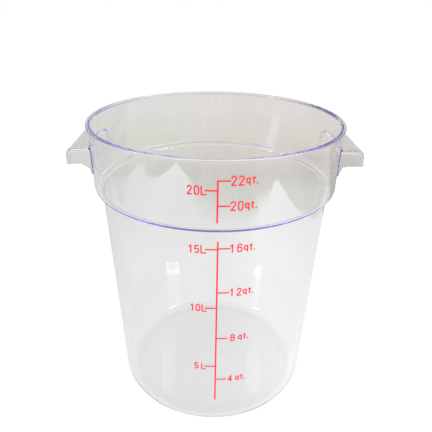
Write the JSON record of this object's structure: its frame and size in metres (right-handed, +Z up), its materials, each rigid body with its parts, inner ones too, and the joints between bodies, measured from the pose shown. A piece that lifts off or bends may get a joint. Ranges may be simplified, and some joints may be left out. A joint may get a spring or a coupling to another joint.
{
  "type": "dough proofing container",
  "caption": "Tall round clear plastic dough proofing tub with a wide band under its rim, a hollow lift handle on each side and a red volume scale on its front.",
  "frame": {"origin": "middle of the foot, on the surface the container stands on", "axes": "+Z up through the mouth, X through the two handles, the printed scale faces -Y"},
  "size_m": [0.359, 0.3188, 0.375],
  "materials": {
    "clear_plastic": "clear polished polycarbonate",
    "red_ink": "screen printed red ink"
  },
  "bodies": {
    "root": {"container_body": "clear_plastic", "scale_line_upper": "red_ink", "scale_line_lower": "red_ink", "label_22_quart": "red_ink", "label_20_quart": "red_ink", "label_16_quart": "red_ink", "label_12_quart": "red_ink", "label_8_quart": "red_ink", "label_4_quart": "red_ink", "label_20_litre": "red_ink", "label_15_litre": "red_ink", "label_10_litre": "red_ink", "label_5_litre": "red_ink"}
  },
  "joints": []
}
